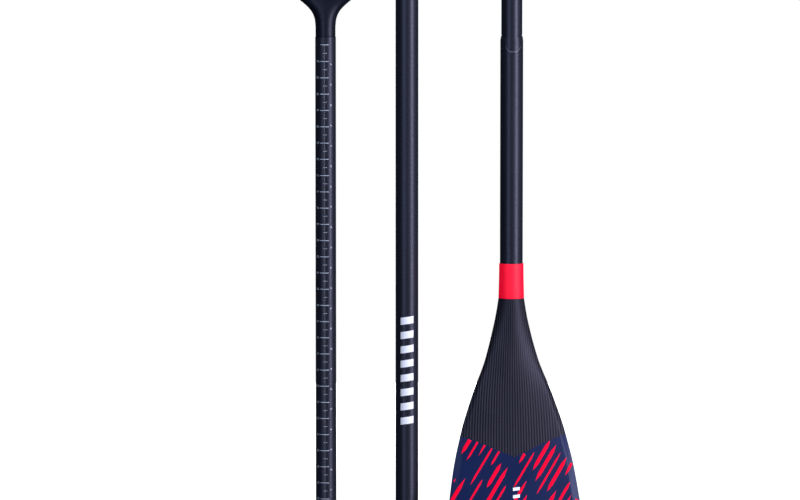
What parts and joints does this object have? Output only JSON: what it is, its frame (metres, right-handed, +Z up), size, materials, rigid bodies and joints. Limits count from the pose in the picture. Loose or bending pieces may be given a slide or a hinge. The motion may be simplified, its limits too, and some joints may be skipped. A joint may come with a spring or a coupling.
{
  "type": "single blade paddle",
  "caption": "Adjustable stand-up paddle taken apart: palm-grip tube with height scale and lever clamp, plain carbon mid shaft, and blade section with snap-button ferrule.",
  "frame": {"origin": "centre of the middle shaft's lower end, level with the lowest points of the other two sections", "axes": "+Z up along every shaft, +X from the handle section towards the blade section, -Y out of the printed side of the blade, which is turned 7 degrees towards +X"},
  "size_m": [0.3843, 0.1011, 0.895],
  "materials": {
    "carbon": "satin carbon laminate",
    "grip_plastic": "matte moulded plastic",
    "clamp_plastic": "glass-filled nylon",
    "nylon": "natural nylon",
    "steel": "stainless",
    "aluminium": "black anodised",
    "seal_rubber": "soft black",
    "sleeve_red": "red sleeve",
    "blade_print": "navy print with red strokes over carbon",
    "blade_back": "navy over carbon",
    "foam": "closed-cell foam"
  },
  "bodies": {
    "mid_section": {"mid_shaft": "carbon", "mid_float_plug": "foam"},
    "handle_section": {"palm_grip": "grip_plastic", "extension_tube": "carbon", "extension_end_plug": "clamp_plastic"},
    "bush": {"clamp_bush": "nylon"},
    "clamp": {"clamp_collar": "clamp_plastic", "clamp_bolt": "steel", "cam_saddle": "nylon"},
    "lever": {"clamp_lever": "clamp_plastic", "lever_pivot_pin": "steel"},
    "nut": {"clamp_nut": "aluminium"},
    "blade_section": {"ferrule_tube": "carbon", "ferrule_end_cap": "seal_rubber", "button_spring": "steel", "ferrule_collar": "clamp_plastic", "blade_shaft": "carbon", "shaft_float_plug": "foam", "neck_sleeve": "sleeve_red", "blade_edge_rail": "blade_print", "blade_core": "foam", "blade_front_skin": "blade_print", "blade_back_skin": "blade_back"},
    "button": {"snap_button": "steel"}
  },
  "joints": [
    {"name": "handle_lift", "type": "slide", "parent": "mid_section", "child": "handle_section", "axis": [0, 0, 1], "range_m": [0, 0.033]},
    {"name": "height_slide", "type": "slide", "parent": "handle_section", "child": "bush", "axis": [0, 0, 1], "range_m": [0, 0.5]},
    {"name": "handle_turn", "type": "hinge", "parent": "bush", "child": "clamp", "pos_m": [-0.0998, 0, 0.03], "axis": [0, 0, 1], "continuous": true},
    {"name": "lever_open", "type": "hinge", "parent": "clamp", "child": "lever", "pos_m": [-0.1138, -0.025, 0.033], "axis": [0, 0, 1], "range_deg": [0, 150]},
    {"name": "nut_turn", "type": "hinge", "parent": "clamp", "child": "nut", "pos_m": [-0.0898, -0.025, 0.033], "axis": [1, 0, 0], "range_deg": [-360, 360]},
    {"name": "blade_lift", "type": "slide", "parent": "mid_section", "child": "blade_section", "axis": [0, 0, 1], "range_m": [0, 0.09]},
    {"name": "button_press", "type": "slide", "parent": "blade_section", "child": "button", "axis": [-0.1219, 0.9925, 0], "range_m": [0, 0.004], "stiffness_N_per_m": 900, "springref_m": -0.004, "deforming": ["button_spring"]}
  ]
}
